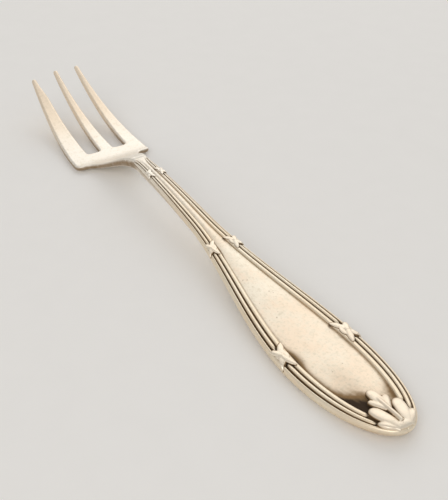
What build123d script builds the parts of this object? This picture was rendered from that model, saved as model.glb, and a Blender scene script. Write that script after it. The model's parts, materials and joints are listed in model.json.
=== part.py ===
from build123d import *
from math import cos, hypot, pi, sqrt
import os

os.makedirs("parts", exist_ok=True)

# Overall sizes in mm. X runs from the tine tips to the handle tip, Z is up and the table is at Z = 0.
overall_length = 150.0
tine_rise = 11.4
arch_height = 8.7

# Thicknesses of the metal
tine_tip_thickness = 1.0
heel_thickness = 1.5
neck_thickness = 2.8
handle_thickness = 2.4
end_thickness = 2.0
end_lift = 0.7

# Head, measured from the tine tips or across the fork. The gaps lie to the right by the gap shift, so that the left
# tine is broad for cutting. It is a little shorter than the other two and keeps its breadth up to the blade distance.
head_width = 19.6
shoulder_distance = 36.2
gap_distance = 30.6
left_tip_setback = 1.0
middle_tine_root = 3.7
tine_tip_width = 1.2
gap_root_width = 3.3
gap_tip_width = 4.8
gap_shift = 0.55
blade_distance = 8.0
left_shoulder_radius = 1.8
right_shoulder_radius = 1.0
gap_corner_radius = 0.7
tine_bulge_length = 6.0
tine_tip_radius = 0.5
sweep_length = 5.5
sweep_half = 3.3
sweep_end_inset = 2.2
head_edge_radius = 0.2

# Side line, measured from the tine tips or from the handle tip
bend_lead = 2.2
heel_flat_length = 4.0
crest_front_distance = 52.0
crest_length = 0.5
crest_under_lag = 3.0
rest_distance = 21.0
rest_flat_length = 8.0
under_lead = 1.0

# Neck joint
joint_distance = 50.5
tongue_length = 5.0
tongue_width = 1.6
tongue_height = 1.0
solder_gap = 0.05

# Handle outline
handle_width = 17.6
widest_distance = 24.0
neck_width = 5.6
swell_distance = 71.0
neck_taper = 0.036
handle_edge_radius = 0.4

# Insets from the outermost line of the handle, each at the end of the neck and at the widest place
blank_inset = (0.3, 0.5)
wire_radius = (0.5, 0.6)
border_inset = (0.4, 0.7)

# Reed border: one pitch is one reed and its groove, and sizes across it are shares of a pitch
reed_pitch = (0.8, 1.16)
wire_depth = 1.0
outer_reed_end = 0.8
reed_start_distance = 51.5
middle_reed_place = 0.5
middle_reed_half = 0.42
middle_reed_height = 0.46
inner_reed_place = 1.5
inner_reed_half = 0.38
inner_reed_height = 0.36
inner_reed_end = 7.5
middle_reed_end = 5.5
reed_sink = 0.1
reed_section_spacing = 4.0
fewest_sections = 8
round_end_length = 0.9
blunt_end = 0.35

# Ribbon ties: share of the way from the start of the reeds to the handle tip, length along the reeds
tie_places = {"neck": (0.074, 3.0), "stem": (0.381, 4.0), "body": (0.721, 5.8)}
tie_reach = 0.88
tie_height = 0.7
under_ribbon_share = 0.88
tie_half_width = 0.09
middle_reed_tuck = 0.26

# Leaf lobes: root and tip as distances from the handle tip and across, then half width
leaf_height = 0.95
leaf_stem = ((1.2, 0), (10.8, 0), 0.95)
leaf_lobes = [((5.6, 0.3), (8.7, 1.9), 0.6), ((1.8, 0.8), (6.5, 3.5), 0.95), ((2.2, 1.2), (4.4, 3.7), 0.7)]

x_tip = -overall_length / 2
x_end = overall_length / 2
x_gap = x_tip + gap_distance
x_blade = x_tip + blade_distance
x_shoulder = x_tip + shoulder_distance
x_heel = x_shoulder - bend_lead
x_crest_front = x_tip + crest_front_distance
x_crest_back = x_crest_front + crest_length
x_joint = x_tip + joint_distance
x_reeds = x_tip + reed_start_distance
x_swell = x_end - swell_distance
x_wide = x_end - widest_distance
x_rest = x_end - rest_distance
end_height = handle_thickness + end_lift
cut_depth = 2 * neck_thickness
wide_cut = head_width
slope_step = 0.05
upright_limit = 0.9
across_limit = 0.999


def s_curve(t):
    return 3 * t**2 - 2 * t**3


def top_height(x):
    """Height of the upper face on the centre line."""
    if x < x_heel:
        return heel_thickness + (tine_rise - heel_thickness) * ((x_heel - x) / (x_heel - x_tip)) ** 2
    if x < x_crest_front:
        t = (x - x_heel) / (x_crest_front - x_heel)
        return heel_thickness + (arch_height - heel_thickness) * s_curve(t)
    if x < x_crest_back:
        return arch_height
    if x < x_rest:
        t = (x - x_crest_back) / (x_rest - x_crest_back)
        return arch_height + (handle_thickness - arch_height) * s_curve(t)
    return handle_thickness + end_lift * ((x - x_rest) / rest_distance) ** 2


def swelling(x, neck, taper, wide):
    """Straight taper on the neck, then one smooth swell out to the widest place."""
    if x <= x_swell:
        return neck + taper * (x - x_swell)
    t = min((x - x_swell) / (x_wide - x_swell), 1)
    handle_point = neck + taper * (x_wide - x_swell) / 3
    return neck * (1 - t) ** 3 + 3 * handle_point * t * (1 - t) ** 2 + wide * (3 * t**2 * (1 - t) + t**3)


def inset(x, sizes):
    """Size across the border that shrinks along the neck as the neck itself does."""
    neck, wide = sizes
    return swelling(x, neck, neck_taper * neck / (neck_width / 2), wide)


def across(x, sizes):
    """Distance from the centre line of a line that lies inside the outermost line of the handle."""
    neck, wide = sizes
    if x <= x_wide:
        return swelling(x, neck_width / 2, neck_taper, handle_width / 2) - inset(x, sizes)
    nose = widest_distance - (wide - blank_inset[1])
    return (handle_width / 2 - wide) * sqrt(1 - ((x - x_wide) / nose) ** 2)


def lean(x, sizes):
    """Slope in plan of the same line."""
    return (across(x + slope_step, sizes) - across(x - slope_step, sizes)) / (2 * slope_step)


def reed_line(place):
    """Insets of a line that lies so many pitches inside the border."""
    return tuple(start + place * step for start, step in zip(border_inset, reed_pitch))


def tie_x(share):
    return x_reeds + share * (x_end - x_reeds)


def bezier_s(x0, z0, x1, z1):
    third = (x1 - x0) / 3
    return Bezier((x0, z0), (x0 + third, z0), (x1 - third, z1), (x1, z1))


# Side view of everything under the upper face, and of the metal between the upper and the lower face
with BuildSketch(Plane.XZ.offset(-wide_cut)) as under_side:
    with BuildLine():
        Bezier((x_tip, tine_rise), ((x_tip + x_heel) / 2, heel_thickness), (x_heel, heel_thickness))
        bezier_s(x_heel, heel_thickness, x_crest_front, arch_height)
        Line((x_crest_front, arch_height), (x_crest_back, arch_height))
        bezier_s(x_crest_back, arch_height, x_rest, handle_thickness)
        Bezier((x_rest, handle_thickness), ((x_rest + x_end) / 2, handle_thickness), (x_end, end_height))
        Polyline((x_end, end_height), (x_end, -cut_depth), (x_tip, -cut_depth), (x_tip, tine_rise))
    make_face()

x_heel_front = x_heel - heel_flat_length
x_rest_back = x_rest + rest_flat_length
x_crest_under = x_crest_back + crest_under_lag
neck_floor = arch_height - neck_thickness
tip_floor = tine_rise - tine_tip_thickness
end_floor = end_height - end_thickness
with BuildSketch(Plane.XZ.offset(-wide_cut)) as lower_side:
    with BuildLine():
        Bezier((x_tip, tip_floor), ((x_tip + x_heel_front) / 2, 0), (x_heel_front, 0))
        Line((x_heel_front, 0), (x_heel - under_lead, 0))
        bezier_s(x_heel - under_lead, 0, x_crest_front - under_lead, neck_floor)
        Line((x_crest_front - under_lead, neck_floor), (x_crest_under, neck_floor))
        bezier_s(x_crest_under, neck_floor, x_rest, 0)
        Line((x_rest, 0), (x_rest_back, 0))
        Bezier((x_rest_back, 0), ((x_rest_back + x_end) / 2, 0), (x_end, end_floor))
        Polyline((x_end, end_floor), (x_end, -cut_depth), (x_tip, -cut_depth), (x_tip, tip_floor))
    make_face()

with BuildPart() as under_block:
    extrude(under_side.sketch, amount=2 * wide_cut)

with BuildPart() as metal_band:
    extrude(under_side.sketch, amount=2 * wide_cut)
    extrude(lower_side.sketch, amount=2 * wide_cut, mode=Mode.SUBTRACT)


# Reed border
def cross_plane(x, sizes, height):
    return Plane(origin=(x, -across(x, sizes), height), x_dir=(0, 1, 0), z_dir=(1, 0, 0))


def reed_sections(start, end):
    """Places of the cross-sections along a reed, closest together at its ends."""
    count = fewest_sections + int((end - start) / reed_section_spacing)
    return [start + (end - start) * (1 - cos(pi * i / count)) / 2 for i in range(count + 1)]


def end_share(distance):
    """Share of the full section at a distance from a rounded end."""
    left_over = 1 - min(max(distance / round_end_length, 0), 1)
    return max(blunt_end, sqrt(1 - left_over**2))


def edge_wire(start, end):
    """Round wire let into the flank of the handle."""
    with BuildPart() as wire:
        for x in reed_sections(start, end):
            radius = inset(x, wire_radius) * end_share(x - start)
            spread = radius * sqrt(1 + lean(x, wire_radius) ** 2)
            with BuildSketch(cross_plane(x, wire_radius, top_height(x) - wire_depth)):
                with BuildLine():
                    EllipticalCenterArc((0, 0), spread, radius, start_angle=0, arc_size=180)
                    EllipticalCenterArc((0, 0), spread, radius, start_angle=180, arc_size=180)
                make_face()
        loft()
    return wire.part


def surface_reed(start, end, place, half, tall):
    """Half-round reed on the upper face, with rounded ends."""
    line = reed_line(place)
    with BuildPart() as reed:
        for x in reed_sections(start, end):
            share = end_share(min(x - start, end - x))
            pitch = inset(x, reed_pitch)
            spread = half * pitch * share * sqrt(1 + lean(x, line) ** 2)
            sink = reed_sink * pitch
            crown = tall * pitch * share + sink
            with BuildSketch(cross_plane(x, line, top_height(x) - sink)):
                with BuildLine():
                    EllipticalCenterArc((0, 0), spread, crown, start_angle=0, arc_size=180)
                    Polyline((-spread, 0), (-spread, -sink), (spread, -sink), (spread, 0))
                make_face()
        loft()
        add(under_block.part, mode=Mode.SUBTRACT)
    return reed.part


def other_side(part):
    with BuildPart() as mirrored:
        mirror(part, about=Plane.XZ)
    return mirrored.part


pieces = {}
pieces["left_outer_reed"] = edge_wire(x_reeds, x_end - outer_reed_end)
pieces["left_inner_reed"] = surface_reed(
    x_reeds, x_end - inner_reed_end, inner_reed_place, inner_reed_half, inner_reed_height
)

# The middle reed is in four lengths that end in the forks of the ties
reed_names = list(tie_places) + ["tip"]
reed_start = x_reeds
for name in reed_names:
    if name in tie_places:
        share, length = tie_places[name]
        tuck = middle_reed_tuck * length
        reed_end = tie_x(share) - tuck
        next_start = tie_x(share) + tuck
    else:
        reed_end = x_end - middle_reed_end
    pieces["left_middle_reed_" + name] = surface_reed(
        reed_start, reed_end, middle_reed_place, middle_reed_half, middle_reed_height
    )
    reed_start = next_start


# Crossed-ribbon ties over the reeds
def oval_along(start, end, steps, half, tall):
    """Swelling oval bar on the upper face, between two points in plan."""
    run = hypot(end[0] - start[0], end[1] - start[1])
    direction = ((end[0] - start[0]) / run, (end[1] - start[1]) / run, 0)
    with BuildPart() as bar:
        for step, wide_share, tall_share in steps:
            x = start[0] + (end[0] - start[0]) * step
            y = start[1] + (end[1] - start[1]) * step
            sink = reed_sink * tall
            sideways = (-direction[1], direction[0], 0)
            with BuildSketch(Plane(origin=(x, y, top_height(x) - sink), x_dir=sideways, z_dir=direction)):
                with BuildLine():
                    spread = half * wide_share
                    crown = tall * tall_share + sink
                    EllipticalCenterArc((0, 0), spread, crown, start_angle=0, arc_size=180)
                    Polyline((-spread, 0), (-spread, -sink), (spread, -sink), (spread, 0))
                make_face()
        loft()
    return bar.part


# Each step: share of the way along, share of the half width, share of the height
ribbon_steps = ((0, 0.3, 0.75), (0.2, 1, 0.88), (0.5, 0.8, 1), (0.8, 1, 0.88), (1, 0.3, 0.75))
middle_line = reed_line(middle_reed_place)
for index, name in enumerate(tie_places):
    tie_share, length = tie_places[name]
    x = tie_x(tie_share)
    y = -across(x, middle_line)
    slope = -lean(x, middle_line)
    along = (length / 2 / hypot(1, slope), length / 2 * slope / hypot(1, slope))
    pitch = inset(x, reed_pitch)
    ribbons = []
    for side, share in ((-1, under_ribbon_share), (1, 1)):
        start = (x - along[0], y - along[1] - side * tie_reach * pitch)
        end = (x + along[0], y + along[1] + side * tie_reach * pitch)
        tall = tie_height * pitch * share
        ribbons.append(oval_along(start, end, ribbon_steps, tie_half_width * length, tall))
    with BuildPart() as tie:
        add(ribbons)
        add(under_block.part, mode=Mode.SUBTRACT)
        add(pieces["left_outer_reed"], mode=Mode.SUBTRACT)
        add(pieces["left_inner_reed"], mode=Mode.SUBTRACT)
        add(pieces["left_middle_reed_" + reed_names[index]], mode=Mode.SUBTRACT)
        add(pieces["left_middle_reed_" + reed_names[index + 1]], mode=Mode.SUBTRACT)
    pieces["left_ribbon_tie_" + name] = tie.part

for name in list(pieces):
    pieces[name.replace("left_", "right_")] = other_side(pieces[name])

# Leaf on the handle tip, over the ends of the reeds
lobe_steps = ((0, 0.6, 0.7), (0.35, 0.85, 0.95), (0.75, 1, 1), (1, 0.45, 0.55))
lobes = []
for root, tip, half in leaf_lobes:
    for side in (-1, 1):
        start = (x_end - root[0], side * root[1])
        end = (x_end - tip[0], side * tip[1])
        lobes.append(oval_along(start, end, lobe_steps, half, leaf_height))
root, tip, half = leaf_stem
lobes.append(oval_along((x_end - root[0], root[1]), (x_end - tip[0], tip[1]), lobe_steps, half, leaf_height))
with BuildPart() as acanthus_leaf:
    add(lobes)
    add(under_block.part, mode=Mode.SUBTRACT)
    for side in ("left", "right"):
        add(pieces[side + "_outer_reed"], mode=Mode.SUBTRACT)
        add(pieces[side + "_inner_reed"], mode=Mode.SUBTRACT)
        add(pieces[side + "_middle_reed_tip"], mode=Mode.SUBTRACT)
pieces["acanthus_leaf"] = acanthus_leaf.part

# Handle blank: plan outline inside the band of metal, rounded below, with seats for the edge wires
third = (x_wide - x_swell) / 3
swell_half = across(x_swell, blank_inset)
wide_half = across(x_wide, blank_inset)
swell_slope = lean(x_swell - slope_step, blank_inset)
neck_half = across(x_joint, blank_inset)
tongue_middle = (neck_floor + top_height(x_joint)) / 2


def is_lower_edge(line):
    middle = line @ 0.5
    upright = abs((line % 0.5).Z) > upright_limit
    low = top_height(middle.X) - middle.Z > tine_tip_thickness / 2
    return low and not upright and abs(middle.Y) > neck_half / 2 and middle.X > x_joint + solder_gap


with BuildPart() as handle:
    with BuildSketch():
        with BuildLine():
            Line((x_joint, -neck_half), (x_joint, neck_half))
            for side in (-1, 1):
                Line((x_joint, side * neck_half), (x_swell, side * swell_half))
                Bezier(
                    (x_swell, side * swell_half),
                    (x_swell + third, side * (swell_half + swell_slope * third)),
                    (x_wide - third, side * wide_half),
                    (x_wide, side * wide_half),
                )
            EllipticalCenterArc((x_wide, 0), widest_distance, wide_half, start_angle=-90, arc_size=180)
        make_face()
    extrude(amount=tine_rise)
    add(metal_band.part, mode=Mode.INTERSECT)
    fillet(handle.edges().filter_by(is_lower_edge), handle_edge_radius)
    with BuildSketch(Plane.YZ.offset(x_joint)):
        with Locations((0, tongue_middle)):
            Rectangle(tongue_width + 2 * solder_gap, tongue_height + 2 * solder_gap)
    extrude(amount=tongue_length + solder_gap, mode=Mode.SUBTRACT)
    add(pieces["left_outer_reed"], mode=Mode.SUBTRACT)
    add(pieces["right_outer_reed"], mode=Mode.SUBTRACT)
pieces["handle"] = handle.part

# Head: three tines, root plate and lower neck in one piece, with the tongue that enters the handle
x_side = x_shoulder - left_shoulder_radius - head_edge_radius
x_left_tip = x_tip + left_tip_setback
head_half = head_width / 2
sweep_end_half = head_half - sweep_end_inset
gap_outer = middle_tine_root / 2 + gap_root_width
tip_inner = tine_tip_width / 2 + gap_tip_width
past_half = head_half + solder_gap
past_sweep = sweep_end_half + solder_gap


def at_corner(reach, low, high):
    """Selects the corners of the head's outline at one distance along it and between two places across it."""
    near = left_tip_setback + solder_gap
    return lambda corner: -near < corner.X - reach < solder_gap and low < corner.Y < high


def is_upper_edge(line):
    """Selects the upper edges round the outline, not those between faces or at the joint."""
    middle = line @ 0.5
    direction = line % 0.5
    runs_across = abs(direction.Y) > across_limit and abs((line @ 0).X - (line @ 1).X) < solder_gap
    at_end = min(abs(middle.X - x) for x in (x_tip, x_left_tip, x_gap, x_shoulder)) < solder_gap
    high = top_height(middle.X) - middle.Z < tine_tip_thickness / 4
    lies_flat = abs(direction.Z) < upright_limit
    return high and lies_flat and middle.X < x_joint - solder_gap and (at_end or not runs_across)


with BuildPart() as fork_head:
    with BuildSketch() as head_plan:
        with BuildLine():
            Line((x_joint, -neck_half), (x_joint, neck_half))
            Line((x_tip, gap_shift - tine_tip_width / 2), (x_tip, gap_shift + tine_tip_width / 2))
            bezier_s(x_left_tip, -tip_inner, x_blade, gap_shift - gap_outer)
            Line((x_blade, gap_shift - gap_outer), (x_gap, gap_shift - gap_outer))
            Line((x_tip, gap_shift + tip_inner), (x_gap, gap_shift + gap_outer))
            for side, x_end, inner_end in ((-1, x_left_tip, tip_inner), (1, x_tip, gap_shift + tip_inner)):
                Bezier(
                    (x_joint, side * neck_half),
                    (x_joint - sweep_length, side * sweep_half),
                    (x_shoulder, side * (sweep_half + sweep_end_half) / 2),
                    (x_shoulder, side * sweep_end_half),
                )
                Polyline(
                    (x_shoulder, side * sweep_end_half),
                    (x_shoulder, side * head_half),
                    (x_side, side * head_half),
                )
                Bezier(
                    (x_side, side * head_half),
                    (x_side - tine_bulge_length, side * head_half),
                    (x_end, side * (inner_end + tine_tip_width)),
                )
                Line((x_end, side * (inner_end + tine_tip_width)), (x_end, side * inner_end))
                Polyline(
                    (x_gap, gap_shift + side * gap_outer),
                    (x_gap, gap_shift + side * middle_tine_root / 2),
                    (x_tip, gap_shift + side * tine_tip_width / 2),
                )
        make_face()
        for reach, low, high, radius in (
            (x_left_tip, -past_half, past_half, tine_tip_radius),
            (x_gap, -past_half, past_half, gap_corner_radius),
            (x_shoulder, -past_half, -past_sweep, left_shoulder_radius),
            (x_shoulder, past_sweep, past_half, right_shoulder_radius),
        ):
            fillet(head_plan.vertices().filter_by(at_corner(reach, low, high)), radius)
    extrude(amount=2 * tine_rise)
    add(metal_band.part, mode=Mode.INTERSECT)
    fillet(fork_head.edges().filter_by(is_upper_edge), head_edge_radius)
    with BuildSketch(Plane.YZ.offset(x_joint)):
        with Locations((0, tongue_middle)):
            Rectangle(tongue_width, tongue_height)
    extrude(amount=tongue_length)
pieces["fork_head"] = fork_head.part

for name, part in pieces.items():
    part.label = name
    export_step(part, "parts/" + name + ".step")
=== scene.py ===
import json
from math import acos, cos, exp, pi, radians, sin, sqrt
import bmesh
import bpy
from mathutils import Matrix, Vector, geometry, kdtree


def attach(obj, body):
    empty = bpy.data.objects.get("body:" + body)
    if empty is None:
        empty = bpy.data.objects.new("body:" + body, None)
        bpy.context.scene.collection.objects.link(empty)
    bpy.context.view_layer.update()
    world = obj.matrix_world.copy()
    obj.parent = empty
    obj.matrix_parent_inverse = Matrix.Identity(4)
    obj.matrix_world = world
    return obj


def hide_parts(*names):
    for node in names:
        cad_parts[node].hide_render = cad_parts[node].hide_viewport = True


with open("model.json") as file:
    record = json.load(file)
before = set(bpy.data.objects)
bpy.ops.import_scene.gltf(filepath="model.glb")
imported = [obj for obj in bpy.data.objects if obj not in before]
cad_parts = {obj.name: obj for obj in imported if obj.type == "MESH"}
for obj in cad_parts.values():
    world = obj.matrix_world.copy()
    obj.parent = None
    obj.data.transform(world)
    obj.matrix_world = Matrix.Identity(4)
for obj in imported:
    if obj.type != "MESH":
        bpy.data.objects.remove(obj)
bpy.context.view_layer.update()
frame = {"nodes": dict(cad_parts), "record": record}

mm = 0.001
bothSides = ((-1, "left"), (1, "right"))
scene = bpy.context.scene
print("frame loaded, nodes:", len(frame["nodes"]))

# the fork's own lines, in mm, as the solids have them
sideLine = {
    "tipX": -75.0, "tipTop": 11.4, "tipThick": 1.0,
    "heelX": -41.0, "heelTop": 1.5, "heelFlatX": -45.0, "heelBackX": -42.0,
    "crestFrontX": -23.0, "crestBackX": -22.5, "crestTop": 8.7, "neckThick": 2.8,
    "underFrontX": -24.0, "underBackX": -19.5,
    "restX": 54.0, "restTop": 2.4, "restBackX": 62.0,
    "endX": 75.0, "endTop": 3.1, "endThick": 2.0,
}


def sCurve(t):
    t = min(max(t, 0.0), 1.0)
    return 3 * t * t - 2 * t**3


def blend(value, start, length):  # rises smoothly from 0 at start to 1 a length further on
    return sCurve((value - start) / length)


def bump(x, middle, spread):
    return exp(-(((x - middle) / spread) ** 2))


def upperLine(x, s=sideLine):
    if x < s["heelX"]:
        t = (s["heelX"] - x) / (s["heelX"] - s["tipX"])
        return s["heelTop"] + (s["tipTop"] - s["heelTop"]) * t * t
    if x < s["crestFrontX"]:
        rise = blend(x, s["heelX"], s["crestFrontX"] - s["heelX"])
        return s["heelTop"] + (s["crestTop"] - s["heelTop"]) * rise
    if x < s["restX"]:
        fall = blend(x, s["crestBackX"], s["restX"] - s["crestBackX"])
        return s["crestTop"] + (s["restTop"] - s["crestTop"]) * fall
    t = (x - s["restX"]) / (s["endX"] - s["restX"])
    return s["restTop"] + (s["endTop"] - s["restTop"]) * t**2


def lowerLine(x, s=sideLine):
    arch = s["crestTop"] - s["neckThick"]
    if x < s["heelFlatX"]:
        t = (s["heelFlatX"] - x) / (s["heelFlatX"] - s["tipX"])
        return (s["tipTop"] - s["tipThick"]) * t * t
    if x < s["underBackX"]:
        return arch * blend(x, s["heelBackX"], s["underFrontX"] - s["heelBackX"])
    if x < s["restBackX"]:
        return arch * (1 - blend(x, s["underBackX"], s["restX"] - s["underBackX"]))
    t = (x - s["restBackX"]) / (s["endX"] - s["restBackX"])
    return (s["endTop"] - s["endThick"]) * t * t


plan = {  # pairs: at the neck and at the wide part
    "jointX": -24.5, "reedStartX": -23.5, "swellX": 4.0, "wideX": 51.0, "noseLength": 24.0,
    "neckHalf": 2.8, "neckTaper": 0.036, "wideHalf": 8.8,
    "blank": (0.3, 0.5), "border": (0.4, 0.7), "pitch": (0.8, 1.16),
    "flareX": -20.0, "flareLength": 4.5, "flare": 0.45,
    "xStep": 0.6, "noseSteps": 56, "noseInset": 1.5,
}


def swelling(x, neck, taper, wide, p=plan):
    if x <= p["swellX"]:
        return neck + taper * (x - p["swellX"])
    span = p["wideX"] - p["swellX"]
    t = min((x - p["swellX"]) / span, 1)
    lead = neck + taper * span / 3
    return neck * (1 - t) ** 3 + 3 * lead * t * (1 - t) ** 2 + wide * (3 * t * t * (1 - t) + t**3)


def sizeAt(x, sizes, p=plan):
    return swelling(x, sizes[0], p["neckTaper"] * sizes[0] / p["neckHalf"], sizes[1])


def reedLine(place, p=plan):  # place in pitches from the border's outer edge
    return tuple(a + place * b for a, b in zip(p["border"], p["pitch"]))


def linePoint(station, sizes, share=1.0, p=plan):  # station: side, x, angle round the nose or None
    side, x, angle = station
    if angle is None:
        half = swelling(x, p["neckHalf"], p["neckTaper"], p["wideHalf"]) - sizeAt(x, sizes)
        half += p["flare"] * (max(p["flareX"] - x, 0) / p["flareLength"]) ** 2
        return Vector((x, side * share * half))
    nose = p["noseLength"] - sizes[1]
    half = p["wideHalf"] - sizes[1]
    return Vector((p["wideX"] + share * nose * cos(angle), side * share * half * sin(angle)))


def stations(side, startX, endX=None, p=plan):  # from the neck to an x, or to the middle of the nose
    lastX = p["wideX"] if endX is None else min(endX, p["wideX"])
    count = max(2, int((lastX - startX) / p["xStep"]))
    row = [(side, startX + (lastX - startX) * i / count, None) for i in range(count + 1)]
    if endX is not None and endX <= p["wideX"]:
        return row
    last = 0.0 if endX is None else acos((endX - p["wideX"]) / (p["noseLength"] - p["noseInset"]))
    steps = max(3, int(p["noseSteps"] * (1 - last / (pi / 2))))
    row += [(side, None, pi / 2 + (last - pi / 2) * i / steps) for i in range(1, steps + 1)]
    return row


borderFade = {"frontLead": 0.6, "frontLength": 2.6, "wipe": 0.85, "wipeX": 70.8, "wipeLength": 2.4}


def frontFade(x, look=borderFade):  # the border melts into the plain neck
    return sCurve((x - plan["reedStartX"] + look["frontLead"]) / look["frontLength"])


def tipFade(x, look=borderFade):  # wiped clean at the very end
    return 1 - look["wipe"] * blend(x, look["wipeX"], look["wipeLength"])


# mesh makers
weldReach = 1e-4  # mm


def finishMesh(name, bm):
    bmesh.ops.remove_doubles(bm, verts=bm.verts, dist=weldReach)
    bmesh.ops.delete(bm, geom=[v for v in bm.verts if not v.link_faces], context="VERTS")
    bmesh.ops.holes_fill(bm, edges=bm.edges, sides=0)
    bmesh.ops.recalc_face_normals(bm, faces=bm.faces)
    for f in bm.faces:
        f.smooth = len(f.verts) < 5  # end caps stay flat
    bmesh.ops.scale(bm, vec=(mm, mm, mm), verts=bm.verts)
    mesh = bpy.data.meshes.new(name)
    bm.to_mesh(mesh)
    bm.free()
    piece = bpy.data.objects.new(name, mesh)
    scene.collection.objects.link(piece)
    return piece


def gridMesh(name, rows, wrap=False):  # rows of (x, y, z, patina); wrap closes each row on itself
    bm = bmesh.new()
    dark = bm.verts.layers.float.new("patinaAndShade")
    made = []
    for row in rows:
        line = []
        for x, y, z, patinaAndShade in row:
            v = bm.verts.new((x, y, z))
            v[dark] = patinaAndShade
            line.append(v)
        made.append(line)
    for a, b in zip(made, made[1:]):
        count = len(a)
        for i in range(count if wrap else count - 1):
            j = (i + 1) % count
            bm.faces.new((a[i], a[j], b[j], b[i]))
    return finishMesh(name, bm)


# rounded edge and its painted shade on the side walls, shared by the head and the front end of the handle
edgeLook = {
    "topReach": 0.5, "topShare": 0.4, "underReach": 0.8,
    "wallShadeAmount": 0.16, "heelShade": 0.3, "heelShadeX": -62.0, "heelShadeLength": 18.0,
    "topShadeFade": (0.0, 0.16), "underShadeFade": (0.1, 0.6),  # start and length of the painted shade's fading, in from the edge
}


def roundedEdge(x, e, upper, look=edgeLook):  # e: way in from the edge
    thick = upperLine(x) - lowerLine(x)
    reach = look["topReach"] if upper else look["underReach"]
    share = look["topShare"] if upper else 1 - look["topShare"]
    inner = 1 - min(max(e / reach, 0), 1)
    fall = share * thick * (1 - sqrt(1 - inner * inner))
    return upperLine(x) - fall if upper else lowerLine(x) + fall


def wallShade(x, e, upper, look=edgeLook):  # painted shade on the side walls and underside, darker towards the tine gap roots
    wallShadeAmount = look["wallShadeAmount"] + look["heelShade"] * blend(x, look["heelShadeX"], look["heelShadeLength"])
    return wallShadeAmount * (1 - blend(e, *look["topShadeFade" if upper else "underShadeFade"]))


# handle blank: field, bed of the border, flank and back
handleLook = {
    "crown": 0.26, "bedCrown": 0.6, "fieldEdge": -0.1, "fieldEdgeShares": (0.93, 0.07), "frontBlend": 5.5,
    "bed": [(2.0, -0.14, 0.3), (1.86, -0.2, 0.5), (1.5, -0.2, 0.8), (1.0, -0.16, 0.85),  # place, rise, patina
            (0.5, -0.28, 0.85), (0.12, -0.4, 0.85), (-0.05, -0.62, 0.8)],
    "flank": [((0.34, 0.56), -0.85, 0.6), ((0.26, 0.42), -1.2, 0.4), ((0.28, 0.45), -1.55, 0.25)],
    "back": [((0.36, 0.6), 0.55, 0.2), ((0.55, 0.9), 0.22, 0.1), ((0.85, 1.4), 0.05, 0.05),
             ((1.2, 2.1), 0.0, 0.0)],
    "fieldShares": [0.0, 0.14, 0.28, 0.42, 0.56, 0.68, 0.78, 0.86, 0.91, 0.945, 0.97, 0.985],
    "backShares": [0.85, 0.6, 0.35, 0.0],
}
# painted shade on the field beside the reeds, ties and leaf, darker on the left and at the lower end; the cloud is a
# real stain patch
fieldShadeAndStain = {  # places with their lengths or spreads in mm
    "rightAmount": 0.35, "sideBlend": 2.0,
    "ties": [(49.0, 3.2), (15.2, 2.6)], "leaf": (66.5, 4.0), "low": (44.0, 12.0),
    "gain": (0.14, 0.14, 0.28, 0.62, 1.3),  # everywhere, along the border, low part, ties, leaf
    "reach": (0.06, 0.05, 0.09, 0.29),  # everywhere, low part, ties, leaf, as shares of the field
    "falloff": 1.3, "most": 1.1,
    "cloud": 0.19, "cloudX": (60.0, 8.0), "cloudY": (-1.5, 3.2),
}


def fieldShadeAndStainAt(x, y, share, look=fieldShadeAndStain):  # painted shade on the field along the border beside the inner reeds, strongest beside the ties and the leaf; plus a real grey-brown stain patch
    near = look["rightAmount"] + (1 - look["rightAmount"]) * sCurve(0.5 - y / look["sideBlend"])  # painted shade, more on the left
    tie = sum(bump(x, *place) for place in look["ties"])
    leaf = bump(x, *look["leaf"])
    low = blend(x, *look["low"])
    base, along, lowPart, tiePart, leafPart = look["gain"]
    gain = base + near * (along + lowPart * low + tiePart * tie + leafPart * leaf)
    base, lowPart, tiePart, leafPart = look["reach"]
    reach = base + near * (lowPart * low + tiePart * tie + leafPart * leaf)
    cloud = look["cloud"] * bump(x, *look["cloudX"]) * bump(y, *look["cloudY"])  # grey-brown patch, lower field
    return min(look["most"], cloud + gain * exp(-(((1 - share) / reach) ** look["falloff"])))


def buildHandle(look=handleLook):
    loop = stations(-1, plan["jointX"])
    loop += list(reversed(stations(1, plan["jointX"])))[1:]
    fieldLine = reedLine(look["bed"][0][0])

    def row(sizes, rise, patinaAndShade, share=1.0, fromBelow=False):
        line = []
        for st in loop:
            x, y = linePoint(st, sizes, share)
            z = (lowerLine(x) if fromBelow else upperLine(x)) + rise
            dark = (patinaAndShade(x, y) if callable(patinaAndShade) else patinaAndShade) * tipFade(x)
            ahead = blend(x, plan["jointX"], look["frontBlend"])
            if ahead < 1:  # the front end has the same section and painted wall shade as the head
                limit = abs(linePoint(st, plan["blank"]).y)
                y = max(-limit, min(limit, y))
                e = limit - abs(y)
                plain = roundedEdge(x, e, not fromBelow)
                z = plain + (z - plain) * ahead
                # painted shade on the side walls, as on the head
                wallShadeAmount = wallShade(x, e, not fromBelow)
                dark = wallShadeAmount + (dark - wallShadeAmount) * frontFade(x)
            line.append((x, y, z, dark))
        return line

    rows = []
    for share in look["fieldShares"]:
        rise = look["fieldEdge"] * blend(share, *look["fieldEdgeShares"]) - look["crown"] * share**2
        # field rows carry painted shade beside the border and a real stain patch
        rows.append(row(fieldLine, rise, lambda x, y: fieldShadeAndStainAt(x, y, share), share))
    for place, rise, dark in look["bed"]:
        rows.append(row(reedLine(place), rise - look["crown"] * look["bedCrown"], dark))
    for sizes, rise, dark in look["flank"]:
        rows.append(row(sizes, rise, dark))
    for sizes, rise, dark in look["back"]:
        rows.append(row(sizes, rise, dark, 1.0, True))
    for share in look["backShares"]:
        rows.append(row(look["back"][-1][0], 0.0, 0.0, share, True))
    return gridMesh("handle_blank", rows)


handlePiece = buildHandle()
print("handle blank built:", len(handlePiece.data.vertices), "points")

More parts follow.
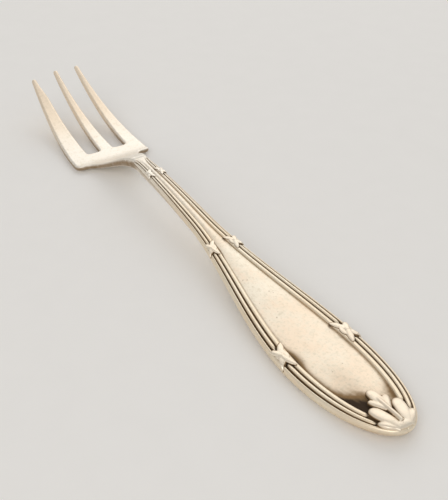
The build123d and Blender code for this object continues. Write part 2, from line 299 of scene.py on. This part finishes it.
# reeds: inner and middle on the border's bed, outer along the flank
reedLook = {  # reach: length of the rounded start and end, in pitches
    "inner": {"place": 1.5, "half": 0.455, "crest": 0.14, "base": -0.4, "fieldSide": 0.3,
              "endX": 69.4, "reach": (3.0, 0.8)},
    "middle": {"place": 0.5, "half": 0.39, "crest": 0.1, "base": -0.6, "fieldSide": 1.0, "reach": (1.15, 1.15),
               "ends": {"neck": (-23.5, -16.9), "stem": (-15.4, 12.9), "body": (15.1, 45.3), "tip": (49.3, 70.8)}},
    "outer": {"line": (0.27, 0.37), "half": (0.27, 0.37), "tall": (0.7, 0.84), "depth": (-0.86, -0.98),
              "reach": (9.0, 0.0), "noseLoss": 0.35, "nose": (62.0, 13.0), "dark": 0.8, "foot": (0.2, 0.6)},
    "arch": {"base": (0.6, 0.4), "crest": (0.45, 0.55), "sides": 0.8, "top": 0.65, "keel": 0.1,
             "dark": 0.85, "foot": (0.62, 0.34)},
    "points": 18, "leastShare": 0.04,
}


def outward(row, sizes, i):
    a = linePoint(row[max(i - 1, 0)], sizes)
    b = linePoint(row[min(i + 1, len(row) - 1)], sizes)
    if row[i][2] == 0.0:  # middle of the nose
        return Vector((1.0, 0.0))
    t = (b - a).normalized()
    n = Vector((t.y, -t.x))
    away = n.x if abs(n.x) > 0.9 else n.y * row[i][0]
    return n if away > 0 else -n


def reedRows(row, sizes, section, reach):
    startReach, endReach = reach
    points = [linePoint(st, sizes) for st in row]
    run = [0.0]
    for a, b in zip(points, points[1:]):
        run.append(run[-1] + (b - a).length)
    rows = []
    for i, q in enumerate(points):
        pitch = sizeAt(min(q.x, plan["wideX"]), plan["pitch"])
        gap = min(run[i] / (startReach * pitch), 1.0)
        if endReach:
            gap = min(gap, (run[-1] - run[i]) / (endReach * pitch))
        share = max(reedLook["leastShare"], sqrt(1 - (1 - gap) ** 2))
        fade = frontFade(q.x) * tipFade(q.x)
        n = outward(row, sizes, i)
        rows.append([(q.x + n.x * v, q.y + n.y * v, upperLine(q.x) + z, dark * fade)
                     for v, z, dark in section(q.x, share)])
    return rows


def archSection(kind, look=reedLook):  # rounded reed on the bed, dark at its foot
    form, arch = look[kind], look["arch"]

    def section(x, share):
        pitch = sizeAt(min(x, plan["wideX"]), plan["pitch"])
        scale = pitch / plan["pitch"][1]
        base = form["base"] * (arch["base"][0] + arch["base"][1] * scale)
        crest = base + (form["crest"] * scale - base) * (arch["crest"][0] + arch["crest"][1] * share)
        ring = []
        for k in range(look["points"]):
            a = 2 * pi * k / look["points"]
            v = form["half"] * pitch * share * (abs(cos(a)) ** arch["sides"]) * (1 if cos(a) >= 0 else -1)
            up = sin(a)
            z = base + (crest - base) * up ** arch["top"] if up > 0 else base + arch["keel"] * up
            foot = arch["dark"] * blend(abs(cos(a)), *arch["foot"])
            ring.append((v, z, foot if v > 0 else foot * form["fieldSide"]))
        return ring

    return section


def bandSection(x, share, look=reedLook):  # broad rounded reed along the flank
    form = look["outer"]
    half, tall, depth = (sizeAt(min(x, plan["wideX"]), form[k]) for k in ("half", "tall", "depth"))
    room = 1 - form["noseLoss"] * blend(x, *form["nose"])
    ring = []
    for k in range(look["points"]):
        a = 2 * pi * k / look["points"]
        v = half * share * cos(a)
        z = depth * room + tall * share * room * sin(a)
        ring.append((v, z, form["dark"] * blend(-cos(a), *form["foot"])))
    return ring


silverPieces = {}
for side, word in bothSides:
    inner, middle, outer = (reedLook[kind] for kind in ("inner", "middle", "outer"))
    row = stations(side, plan["reedStartX"])
    rows = reedRows(row, outer["line"], bandSection, outer["reach"])
    silverPieces[word + "_outer_reed"] = gridMesh(word + "_outer_reed_band", rows, True)
    row = stations(side, plan["reedStartX"], inner["endX"])
    rows = reedRows(row, reedLine(inner["place"]), archSection("inner"), inner["reach"])
    silverPieces[word + "_inner_reed"] = gridMesh(word + "_inner_reed_wire", rows, True)
    for name, (startX, endX) in middle["ends"].items():
        row = stations(side, startX, endX)
        rows = reedRows(row, reedLine(middle["place"]), archSection("middle"), middle["reach"])
        node = word + "_middle_reed_" + name
        silverPieces[node] = gridMesh(node + "_pill", rows, True)
print("reeds built:", len(silverPieces))


# lobes of the ties and the leaf are lofted one by one, then welded into one skin
def lobe(bm, spine, half, crest, base, flat=0.72, segments=20, steps=24, nudge=0.02):
    rings = []  # spine, half, crest and base are functions of the way along, 0 to 1
    for i in range(steps + 1):
        t = i / steps
        p = spine(t)
        ahead = spine(min(t + nudge, 1.0)) - spine(max(t - nudge, 0.0))
        n = Vector((-ahead.y, ahead.x)).normalized()
        ring = []
        for k in range(segments):
            a = 2 * pi * k / segments
            v = half(t) * cos(a)
            z = crest(t) * sin(a) ** flat if sin(a) > 0 else base(t) * sin(a)
            ring.append(bm.verts.new((p.x + n.x * v, p.y + n.y * v, p.z + z)))
        rings.append(ring)
    for a, b in zip(rings, rings[1:]):
        for k in range(segments):
            j = (k + 1) % segments
            bm.faces.new((a[k], a[j], b[j], b[k]))
    for ring in (rings[0], rings[-1]):
        bm.faces.new(ring)


weldLook = {"soften": 0.5, "spreads": 3, "hollowGain": 9.0, "hollowFrom": 0.012}


def welded(name, bm, voxel, smoothing, shade, look=weldLook):  # one closed skin, patina where it is low or hollow
    bmesh.ops.recalc_face_normals(bm, faces=bm.faces)
    mesh = bpy.data.meshes.new(name + "_lobes")
    bm.to_mesh(mesh)
    bm.free()
    rough = bpy.data.objects.new(name + "_lobes", mesh)
    scene.collection.objects.link(rough)
    remesh = rough.modifiers.new("weld", "REMESH")
    remesh.mode, remesh.voxel_size = "VOXEL", voxel
    soft = rough.modifiers.new("soften", "SMOOTH")
    soft.factor, soft.iterations = look["soften"], smoothing
    skin = bpy.data.meshes.new_from_object(rough.evaluated_get(bpy.context.evaluated_depsgraph_get()))
    bpy.data.objects.remove(rough)
    bm = bmesh.new()
    bm.from_mesh(skin)
    bm.normal_update()
    hollow = {}
    for v in bm.verts:
        ring = [e.other_vert(v).co for e in v.link_edges]
        hollow[v.index] = (sum(ring, Vector()) / len(ring) - v.co).dot(v.normal) / voxel
    for _ in range(look["spreads"]):
        hollow = {v.index: sum(hollow[e.other_vert(v).index] for e in v.link_edges) / len(v.link_edges)
                  for v in bm.verts}
    dark = bm.verts.layers.float.new("patinaAndShade")
    for v in bm.verts:
        pocket = look["hollowGain"] * max(0.0, hollow[v.index] - look["hollowFrom"])
        v[dark] = min(1.0, max(0.0, shade(v.co) + pocket))
    return finishMesh(name, bm)


tieLook = {
    "places": {"neck": (-16.2, 3.6, 0.62), "stem": (14.0, 4.8, 0.78), "body": (47.5, 7.0, 1.0)},  # x, length, scale
    "line": 0.5, "slopeReach": 0.5, "depth": 0.5, "voxel": 0.075, "smoothing": 4,
    "arms": [(-1.0, -1.5, 0.32), (-0.68, 1.0, 0.42), (1.0, -1.1, 0.42), (0.82, 1.08, 0.32)],  # along, across, tall
    "armHalf": 0.7, "armEnd": 0.05, "armBelly": (0.8, 0.2), "armBend": (0.85, 0.15), "armDroop": 0.2,
    "knobLength": 0.5, "knobHalf": 0.7, "knobTall": 0.47, "knobEnd": (0.08, 0.1),
    "webs": [(-0.8, 0.5, 0.26), (0.5, 0.42, 0.2)],  # across, half width, tall
    "webLength": 0.75, "webEnd": 0.08, "roundEnd": (0.08, 0.84),
    "envelope": [  # pitches outward from the middle reed, height that a ribbon follows over the reeds
        (-1.9, -0.12), (-1.45, 0.05), (-1.0, 0.14), (-0.5, 0.13), (0.0, 0.11), (0.45, 0.05), (0.75, -0.05),
        (0.95, -0.3), (1.1, -0.8), (1.25, -1.3)],
    "dark": 0.85, "foot": (0.02, 0.2),
}


def tieEnvelope(v, look=tieLook):
    stops = look["envelope"]
    if v <= stops[0][0]:
        return stops[0][1]
    for (a, za), (b, zb) in zip(stops, stops[1:]):
        if v <= b:
            return za + (zb - za) * (v - a) / (b - a)
    return stops[-1][1]


def buildTie(side, word, name, look=tieLook):
    middle, length, scale = look["places"][name]
    half = length / 2
    line = reedLine(look["line"])
    q = linePoint((side, middle, None), line)
    fore, aft = (linePoint((side, middle + way, None), line) for way in (look["slopeReach"], -look["slopeReach"]))
    ahead = (fore - aft).normalized()
    n = Vector((-ahead.y, ahead.x))
    n = n if n.y * side > 0 else -n
    pitch = sizeAt(middle, plan["pitch"])
    bm = bmesh.new()

    def place(u, v):
        x = q.x + ahead.x * u + n.x * v
        y = q.y + ahead.y * u + n.y * v
        return Vector((x, y, upperLine(x) + tieEnvelope(v / pitch) * scale))

    def roundEnd(t):
        return sin(pi * (look["roundEnd"][0] + look["roundEnd"][1] * t))

    def depth(t):
        return scale * look["depth"]

    (slim, belly), (straight, bent) = look["armBelly"], look["armBend"]
    for along, over, tall in look["arms"]:
        lobe(bm, lambda t: place(half * along * t, pitch * over * (straight * t + bent * t * t)),
             lambda t: scale * look["armHalf"] * max(look["armEnd"], (slim + belly * sin(pi * t)) * sqrt(1 - t**4)),
             lambda t: scale * (tall - look["armDroop"] * t * t), depth)
    lobe(bm, lambda t: place(half * (t - 0.5) * look["knobLength"], 0.0),
         lambda t: scale * max(look["knobEnd"][0], look["knobHalf"] * roundEnd(t)),
         lambda t: scale * max(look["knobEnd"][1], look["knobTall"] * roundEnd(t)), depth)
    for over, wide, tall in look["webs"]:  # between the arms on either side
        lobe(bm, lambda t: place(half * (t - 0.5) * look["webLength"], pitch * over),
             lambda t: pitch * wide * max(look["webEnd"], roundEnd(t)),
             lambda t: scale * tall, depth)

    def shade(p):
        v = (Vector((p.x, p.y)) - q).dot(n) / pitch
        rise = (p.z - upperLine(p.x)) / scale - tieEnvelope(v)
        return look["dark"] * (1 - blend(rise, *look["foot"]))

    return welded(word + "_ribbon_tie_" + name + "_cross", bm, look["voxel"] * scale, look["smoothing"], shade)


for side, word in bothSides:
    for name in tieLook["places"]:
        silverPieces[word + "_ribbon_tie_" + name] = buildTie(side, word, name)
print("ribbon ties built")

leafLook = {
    "voxel": 0.085, "smoothing": 4,
    "ground": 0.05, "sideFall": 0.9, "sideFrom": (2.2, 4.0), "endFall": 0.5, "endFrom": (71.5, 4.5),
    "lift": 0.12, "depth": 0.6, "flat": 0.5, "leastWidth": 0.08, "thinCrest": 0.5, "tipDroop": 0.2, "swell": 0.6,
    "stem": [(73.2, 0.0), (70.5, 0.0), (66.2, 0.0)], "stemHalf": 0.5, "stemCrest": 0.95, "stemSwell": (0.9, 0.1),
    "lobes": [  # spine points, widest half width, crest, width at the root
        ([(69.2, 0.0), (66.4, 0.0), (63.6, 0.0)], 1.15, 0.72, 0.75),
        ([(69.8, 0.0), (67.8, 0.0), (65.3, 0.0)], 1.75, 0.5, 0.35),
        ([(69.4, 0.2), (68.1, 0.75), (66.0, 1.85)], 0.75, 0.7, 0.8),
        ([(74.0, 0.7), (71.4, 2.05), (67.6, 2.6)], 1.25, 0.68, 0.7),
        ([(74.2, 0.9), (72.9, 2.0), (70.9, 2.9)], 0.9, 0.55, 0.8),
        ([(74.0, 1.2), (73.2, 2.7), (71.1, 3.6)], 0.65, 0.6, 0.6),
        ([(72.4, 0.0), (73.4, 0.0), (74.6, 0.0)], 1.9, 0.65, 0.4),
    ],
    "dark": 0.95, "foot": (0.22, 0.55),
}


def bend(points):  # one quadratic curve from a start, by a pull, to an end
    a, b, c = (Vector(p) for p in points)
    return lambda t: a * (1 - t) ** 2 + b * 2 * t * (1 - t) + c * t * t


def leafGround(x, y, look=leafLook):
    sideFall = look["sideFall"] * blend(abs(y), *look["sideFrom"])
    return upperLine(x) + look["ground"] - sideFall - look["endFall"] * blend(x, *look["endFrom"])


def buildLeaf(look=leafLook):
    bm = bmesh.new()

    def add(points, wide, crest, full):
        line = bend(points)

        def spine(t):
            p = line(t)
            return Vector((p.x, p.y, leafGround(p.x, p.y) + look["lift"]))

        thin = look["thinCrest"]
        lobe(bm, spine, lambda t: wide * max(look["leastWidth"], full(t)),
             lambda t: crest * (thin + (1 - thin) * full(t)) * (1 - look["tipDroop"] * t**6),
             lambda t: look["depth"], look["flat"])

    slim, belly = look["stemSwell"]
    add(look["stem"], look["stemHalf"], look["stemCrest"], lambda t: slim + belly * t)
    for points, wide, crest, root in look["lobes"]:
        for side in (1,) if points[0][1] == 0 else (-1, 1):
            moved = [(x, side * y) for x, y in points]
            add(moved, wide, crest, lambda t: sqrt(1 - t**10) * (root + (1 - root) * sCurve(t / look["swell"])))

    def shade(p):
        rise = p.z - leafGround(p.x, p.y)
        return look["dark"] * (1 - blend(rise, *look["foot"])) * tipFade(p.x)

    return welded("acanthus_leaf_relief", bm, look["voxel"], look["smoothing"], shade)


silverPieces["acanthus_leaf"] = buildLeaf()
print("leaf built:", len(silverPieces["acanthus_leaf"].data.vertices), "points")

# head: plan outline filled with points, then raised to a plate with rounded edges
headLook = {
    "half": 9.8, "shoulderX": -38.8, "sideX": -40.8, "leftTipX": -74.0, "gapX": -44.4,
    "outerTip": (5.4, 6.6), "gapOuter": 5.15, "rootHalf": 1.85, "tipHalf": 0.6, "bulgeLength": 6.0,
    "gapShift": 0.55, "bladeX": -67.0, "bladeSteps": 14, "sweepSteps": 30, "sideSteps": 24,
    "sweepLength": 5.5, "sweepHalf": 3.3, "sweepEndHalf": 7.6,
    "leftShoulderRound": 1.8, "rightShoulderRound": 1.0, "gapRound": 0.7, "tipRound": 0.55,
    "edgeSpacing": 0.3, "edgeParts": 6, "rings": [0.06, 0.16, 0.3, 0.48, 0.7], "ringSlack": 0.03,
    "gridSpacing": 0.55, "rowSpacing": 0.87, "jointClear": (0.02, 0.3), "edgeClear": 0.04, "onEdge": 0.012,
}
hair = 1e-6  # mm


def roundedCorners(corners, spacing):  # corners: x, y, radius
    points = []
    count = len(corners)
    for i, (x, y, r) in enumerate(corners):
        here = Vector((x, y))
        before = Vector(corners[i - 1][:2])
        after = Vector(corners[(i + 1) % count][:2])
        if r <= 0:
            points.append(here)
            continue
        a = (before - here).normalized()
        b = (after - here).normalized()
        turn = acos(max(-1, min(1, a.dot(b))))
        cut = r * cos(turn / 2) / sin(turn / 2)
        centre = here + (a + b).normalized() * (r / sin(turn / 2))
        start = here + a * cut - centre
        end = here + b * cut - centre
        arc = pi - turn
        steps = max(3, int(arc * r / spacing) + 2)
        spin = 1 if start.x * end.y - start.y * end.x > 0 else -1
        for k in range(steps + 1):
            w = spin * arc * k / steps
            ray = Vector((start.x * cos(w) - start.y * sin(w), start.x * sin(w) + start.y * cos(w)))
            points.append(centre + ray)
    dense = []
    for a, b in zip(points, points[1:] + points[:1]):
        steps = max(1, int((b - a).length / spacing))
        dense += [a + (b - a) * (k / steps) for k in range(steps)]
    return dense


def outerSide(endX, endY, shoulderRound, h=headLook):  # from the neck joint round one shoulder to an outer tine's tip
    neck = abs(linePoint((1, plan["jointX"], None), plan["blank"]).y)
    a = Vector((plan["jointX"], neck))
    b = Vector((plan["jointX"] - h["sweepLength"], h["sweepHalf"]))
    c = Vector((h["shoulderX"], (h["sweepHalf"] + h["sweepEndHalf"]) / 2))
    d = Vector((h["shoulderX"], h["sweepEndHalf"]))
    points = []
    for k in range(h["sweepSteps"] + 1):
        t = k / h["sweepSteps"]
        p = a * (1 - t) ** 3 + b * 3 * t * (1 - t) ** 2 + c * 3 * t * t * (1 - t) + d * t**3
        points.append((p.x, p.y, 0))
    points += [(h["shoulderX"], h["half"], shoulderRound), (h["sideX"], h["half"], 0)]
    edge = bend([(h["sideX"], h["half"]), (h["sideX"] - h["bulgeLength"], h["half"]), (endX, endY)])
    points += [(*edge(k / h["sideSteps"]), 0) for k in range(1, h["sideSteps"])]
    return points


def headOutline(h=headLook):
    low, high = h["outerTip"]
    shift = h["gapShift"]
    gap = [(h["gapX"], h["gapOuter"], h["gapRound"]), (h["gapX"], h["rootHalf"], h["gapRound"]),
           (sideLine["tipX"], h["tipHalf"], h["tipRound"])]
    rightSide = outerSide(sideLine["tipX"], high + shift, h["rightShoulderRound"])
    rightSide += [(sideLine["tipX"], y + shift, h["tipRound"]) for y in (high, low)]
    rightSide += [(x, y + shift, r) for x, y, r in gap]
    leftSide = outerSide(h["leftTipX"], high, h["leftShoulderRound"])
    leftSide += [(h["leftTipX"], y, h["tipRound"]) for y in (high, low)]
    for k in range(2, h["bladeSteps"] + 1):  # the left tine widens inward behind its tip
        t = k / h["bladeSteps"]
        y = low + (h["gapOuter"] - shift - low) * sCurve(t)
        leftSide.append((h["leftTipX"] + (h["bladeX"] - h["leftTipX"]) * t, y, 0))
    leftSide += [(x, y - shift, r) for x, y, r in gap]
    corners = rightSide + [(x, -y, r) for x, y, r in reversed(leftSide)]
    return roundedCorners(corners, h["edgeSpacing"])


def buildHead(h=headLook):
    outline = headOutline(h)
    count, parts = len(outline), h["edgeParts"]
    neck = max(abs(p.y) for p in outline if p.x > plan["jointX"] - hair)
    tree = kdtree.KDTree(count * parts)
    for i, a in enumerate(outline):
        b = outline[(i + 1) % count]
        for k in range(parts):
            p = a + (b - a) * (k / parts)
            if p.x < plan["jointX"] - hair or abs(p.y) > neck - hair:  # the joint itself is no edge
                tree.insert((p.x, p.y, 0), i * parts + k)
    tree.balance()

    def depth(p):
        return tree.find((p.x, p.y, 0))[2]

    ringClear, gridClear = h["jointClear"]
    inside = []
    for ring in h["rings"]:
        for i, p in enumerate(outline):
            t = (outline[(i + 1) % count] - outline[i - 1]).normalized()
            q = p + Vector((-t.y, t.x)) * ring
            if abs(depth(q) - ring) < h["ringSlack"] and q.x < plan["jointX"] - ringClear:
                inside.append(q)
    x = sideLine["tipX"]
    odd = 0
    while x < plan["jointX"] - gridClear:
        y = -h["half"] + (odd % 2) * h["gridSpacing"] / 2
        while y < h["half"]:
            inside.append(Vector((x, y)))
            y += h["gridSpacing"]
        x += h["gridSpacing"] * h["rowSpacing"]
        odd += 1
    points = outline + [p for p in inside if depth(p) > h["edgeClear"]]
    edges = [(i, (i + 1) % count) for i in range(count)]
    flat = geometry.delaunay_2d_cdt(points, edges, [], 1, 1e-5)  # 1: only what lies inside the outline
    bm = bmesh.new()
    dark = bm.verts.layers.float.new("patinaAndShade")
    top, under = [], []
    for p in flat[0]:
        e = depth(p)
        e = 0.0 if e < h["onEdge"] else e
        v = bm.verts.new((p.x, p.y, roundedEdge(p.x, e, True)))
        w = bm.verts.new((p.x, p.y, roundedEdge(p.x, e, False)))
        # painted shade on the side walls and the underside
        v[dark] = wallShade(p.x, e, True)
        w[dark] = wallShade(p.x, e, False)
        top.append(v)
        under.append(w)
    for f in flat[2]:
        bm.faces.new([top[i] for i in f])
        bm.faces.new([under[i] for i in reversed(f)])
    return finishMesh("fork_head_plate", bm)


headPiece = buildHead()
print("head built:", len(headPiece.data.vertices), "points")
silverPieces["fork_head"] = headPiece
silverPieces["handle"] = handlePiece


# shader maths as expressions on sockets
class Sock:
    def __init__(self, shader, socket):
        self.shader, self.socket = shader, socket

    def maths(self, operation, a, b, clamp=False):
        return self.shader.node("ShaderNodeMath", {"operation": operation, "use_clamp": clamp}, {0: a, 1: b})

    def __add__(self, other): return self.maths("ADD", self, other)
    def __radd__(self, other): return self.maths("ADD", other, self)
    def __sub__(self, other): return self.maths("SUBTRACT", self, other)
    def __rsub__(self, other): return self.maths("SUBTRACT", other, self)
    def __mul__(self, other): return self.maths("MULTIPLY", self, other)
    def __rmul__(self, other): return self.maths("MULTIPLY", other, self)
    def clamped(self): return self.maths("ADD", self, 0.0, True)


class Shader:
    def __init__(self, name):
        self.material = bpy.data.materials.new(name)
        self.material.use_nodes = True
        self.tree = self.material.node_tree
        self.tree.nodes.clear()

    def node(self, kind, settings=None, inputs=None, out=0):
        made = self.tree.nodes.new(kind)
        for key, value in (settings or {}).items():
            setattr(made, key, value)
        for key, value in (inputs or {}).items():
            if isinstance(value, Sock):
                self.tree.links.new(value.socket, made.inputs[key])
            else:
                made.inputs[key].default_value = value
        return Sock(self, made.outputs[out]) if len(made.outputs) else None

    def noise(self, vector, scale, detail, roughness):
        return self.node("ShaderNodeTexNoise", None, {
            "Vector": vector, "Scale": scale, "Detail": detail, "Roughness": roughness})

    def mix(self, amount, a, b):
        return self.node("ShaderNodeMix", {"data_type": "RGBA"}, {0: amount, 6: a, 7: b}, 2)

    def step(self, value, low, high):
        return self.node("ShaderNodeMapRange", {"interpolation_type": "SMOOTHSTEP"}, {
            0: value, 1: low, 2: high, 3: 0.0, 4: 1.0})


silverTone = {
    "bright": (0.95, 0.93, 0.89, 1), "pale": (0.94, 0.87, 0.74, 1), "warm": (0.93, 0.79, 0.63, 1),
    "grey": (0.74, 0.65, 0.5, 1), "brown": (0.3, 0.19, 0.09, 1), "black": (0.05, 0.031, 0.018, 1),
}
reedTone = dict(silverTone, pale=(0.93, 0.84, 0.68, 1), warm=(0.91, 0.76, 0.57, 1))
silverWearAndLight = {  # cuts are the low and high end of a smooth step
    "slow": (0.11, 3.0, 0.55), "fine": (0.9, 6.0, 0.62), "grit": (5.0, 3.0, 0.6), "mottle": (1.7, 3.0, 0.7),
    "scratchTurns": (0.35, -0.8), "scratchStretch": (0.16, 5.5, 1.0), "scratchNoise": (1.0, 2.0, 0.5),
    "scratchCut": (0.62, 0.72), "pitScale": 0.75, "pitCut": (0.04, 0.14), "pitPatchCut": (0.4, 0.56),
    "slowPart": 0.6, "finePart": 0.4, "tinesCut": (-62.0, -46.0), "tinesWarm": 0.75,
    "neckCut": (-26.0, 8.0), "neckBright": 0.55, "greyCut": (0.5, 0.74), "grey": 0.5,
    "mottleCut": (0.48, 0.74), "mottleGrey": 0.6, "dirtShadeFloor": 0.72, "dirtShadeNoise": 0.56,
    "blackCut": (0.6, 1.05), "brownCut": (0.04, 0.62), "dullCut": (0.3, 0.9), "dull": 0.8,
    "roughFine": 0.14, "roughScratch": 0.1, "roughDirtShade": 0.3,
    "reliefFine": 0.5, "reliefMottle": 0.6, "reliefGrit": 0.2, "reliefScratch": 0.3,
    "bumpStrength": 0.35, "bumpDistance": 0.00004, "specular": 0.2,
}


def silverMaterial(name, blotch, scratch, pits, roughness, tone=silverTone, w=silverWearAndLight):
    s = Shader(name)
    place = s.node("ShaderNodeTexCoord", None, None, 3)
    inMm = s.node("ShaderNodeVectorMath", {"operation": "SCALE"}, {0: place, 3: 1 / mm})
    slow, fine, grit, mottle = (s.noise(inMm, *w[kind]) for kind in ("slow", "fine", "grit", "mottle"))
    lines = None
    for turn in w["scratchTurns"]:  # noise drawn out along two directions
        turned = s.node("ShaderNodeMapping", None, {
            "Vector": inMm, "Rotation": (0.0, 0.0, turn), "Scale": w["scratchStretch"]})
        line = s.step(s.noise(turned, *w["scratchNoise"]), *w["scratchCut"])
        lines = line if lines is None else lines + line
    cells = s.node("ShaderNodeTexVoronoi", None, {"Vector": inMm, "Scale": w["pitScale"]})
    pit = (1.0 - s.step(cells, *w["pitCut"])) * s.step(slow, *w["pitPatchCut"])
    # one attribute: real patina in the grooves and hollows, plus painted shade on the field edge and the side walls
    stainAndShade = s.node("ShaderNodeAttribute", {"attribute_name": "patinaAndShade"}, None, 2)
    dirtAndShade = stainAndShade * (w["dirtShadeFloor"] + w["dirtShadeNoise"] * fine)
    patches = s.step(slow * w["slowPart"] + fine * w["finePart"], 0.5 - blotch, 0.5 + blotch)
    silver = s.mix(patches, tone["warm"], tone["pale"])
    along = s.node("ShaderNodeSeparateXYZ", None, {0: inMm})
    root = s.step(along, *w["tinesCut"])
    silver = s.mix(w["tinesWarm"] - w["tinesWarm"] * root, silver, tone["warm"])  # warmest on the tines
    # painted highlight where the root plate and the neck catch the light
    paintedHighlight = (w["neckBright"] - w["neckBright"] * s.step(along, *w["neckCut"])) * root
    silver = s.mix(paintedHighlight, silver, tone["bright"])  # painted highlight, brightest at the root plate and the neck
    silver = s.mix(s.step(fine, *w["greyCut"]) * w["grey"], silver, tone["grey"])
    silver = s.mix(s.step(mottle, *w["mottleCut"]) * (w["mottleGrey"] * scratch), silver, tone["grey"])
    silver = s.mix(pit * pits, silver, tone["brown"])
    # tarnish colours, also used for the painted shade
    tarnishAndShade = s.mix(s.step(dirtAndShade, *w["blackCut"]), tone["brown"], tone["black"])
    colour = s.mix(s.step(dirtAndShade, *w["brownCut"]), silver, tarnishAndShade)
    rough = roughness + w["roughFine"] * fine + scratch * w["roughScratch"] * lines + w["roughDirtShade"] * dirtAndShade
    relief = fine * w["reliefFine"] + mottle * w["reliefMottle"] + grit * w["reliefGrit"]
    relief = relief - lines * (w["reliefScratch"] * scratch) - pit * pits
    bumped = s.node("ShaderNodeBump", None, {
        "Strength": w["bumpStrength"], "Distance": w["bumpDistance"], "Height": relief})
    shader = s.node("ShaderNodeBsdfPrincipled", None, {
        "Base Color": colour, "Metallic": 1.0 - w["dull"] * s.step(dirtAndShade, *w["dullCut"]),
        "Roughness": rough.clamped(), "Normal": bumped, "Specular IOR Level": w["specular"]})
    s.node("ShaderNodeOutputMaterial", None, {0: shader})
    return s.material


finishes = {
    "head_silver": silverMaterial("head_silver_worn", blotch=0.18, scratch=0.6, pits=0.35, roughness=0.38),
    "handle_silver": silverMaterial("handle_silver_patina", blotch=0.14, scratch=1.0, pits=0.7, roughness=0.42),
    "reed_silver": silverMaterial("reed_silver_patina", blotch=0.18, scratch=0.4, pits=0.3, roughness=0.36,
                                  tone=reedTone),
    "mount_silver": silverMaterial("mount_silver_patina", blotch=0.18, scratch=0.3, pits=0.4, roughness=0.36),
}
slots = {row["node"]: row["material_slot"] for row in frame["record"]["subparts"]}
for node, piece in silverPieces.items():
    piece.data.materials.append(finishes[slots[node]])
    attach(piece, "root")
    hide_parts(node)
print("pieces dressed:", len(silverPieces))

# floor, light and camera; lengths in m
stageLook = {
    "floor": (0.92, 0.91, 0.895, 1), "floorShade": 0.97, "floorGrain": 900.0, "floorDetail": 4.0, "floorRough": 0.9,
    "floorHalf": 3.0, "floorDrop": 0.00004, "world": (1.0, 0.985, 0.96, 1), "worldStrength": 0.55,
}
half = stageLook["floorHalf"]
floorMesh = bpy.data.meshes.new("floor")
floorMesh.from_pydata([(-half, -half, 0), (half, -half, 0), (half, half, 0), (-half, half, 0)], [], [(0, 1, 2, 3)])
floor = bpy.data.objects.new("floor", floorMesh)
floor.location.z = -stageLook["floorDrop"]
scene.collection.objects.link(floor)
paper = Shader("pale_paper")
grain = paper.node("ShaderNodeTexNoise", None, {"Scale": stageLook["floorGrain"], "Detail": stageLook["floorDetail"]})
shaded = tuple(stageLook["floorShade"] * c for c in stageLook["floor"][:3]) + (1,)
paperTone = paper.mix(grain, stageLook["floor"], shaded)
paper.node("ShaderNodeOutputMaterial", None, {0: paper.node("ShaderNodeBsdfPrincipled", None, {
    "Base Color": paperTone, "Roughness": stageLook["floorRough"]})})
floorMesh.materials.append(paper.material)

world = bpy.data.worlds.new("studio")
scene.world = world
world.use_nodes = True
sky = world.node_tree.nodes["Background"]
sky.inputs[0].default_value = stageLook["world"]
sky.inputs[1].default_value = stageLook["worldStrength"]

lamps = {  # place, aim, size, watts, colour
    "key": ((-0.43, 0.38, 0.44), (0.0, 0.0, 0.0), 0.66, 1.15, (1.0, 0.98, 0.95)),
    "fill": ((0.45, -0.5, 0.5), (0.02, 0.0, 0.0), 0.6, 1.8, (1.0, 0.97, 0.93)),
}
for name, (spot, aim, size, power, colour) in lamps.items():
    data = bpy.data.lights.new(name, "AREA")
    data.size, data.energy, data.color = size, power, colour
    lamp = bpy.data.objects.new(name, data)
    lamp.location = spot
    lamp.rotation_euler = (Vector(aim) - Vector(spot)).to_track_quat("-Z", "Y").to_euler()
    scene.collection.objects.link(lamp)

viewpoint = {  # angles in degrees, distance and target in mm, focal length and long side in pixels
    "azimuth": 59.924, "elevation": 33.889, "roll": -1.079, "distance": 214.985, "target": (15.395, -0.613, 5.4),
    "focal": 1037.6, "longSide": 500.0, "sensor": 36.0, "clip": (0.01, 20.0),
}
a, e, r = (radians(viewpoint[k]) for k in ("azimuth", "elevation", "roll"))
back = Vector((sin(a) * cos(e), -cos(a) * cos(e), sin(e)))
right = Vector((0, 0, 1)).cross(back).normalized()
up = back.cross(right)
right, up = right * cos(r) + up * sin(r), up * cos(r) - right * sin(r)
cameraData = bpy.data.cameras.new("camera")
cameraData.sensor_width = viewpoint["sensor"]
cameraData.lens = viewpoint["focal"] * viewpoint["sensor"] / viewpoint["longSide"]
cameraData.clip_start, cameraData.clip_end = viewpoint["clip"]
camera = bpy.data.objects.new("camera", cameraData)
spot = (Vector(viewpoint["target"]) + back * viewpoint["distance"]) * mm
camera.matrix_world = Matrix((
    (right.x, up.x, back.x, spot.x), (right.y, up.y, back.y, spot.y), (right.z, up.z, back.z, spot.z), (0, 0, 0, 1)))
scene.collection.objects.link(camera)
scene.camera = camera
scene.view_settings.view_transform = "Standard"
print("stage set")
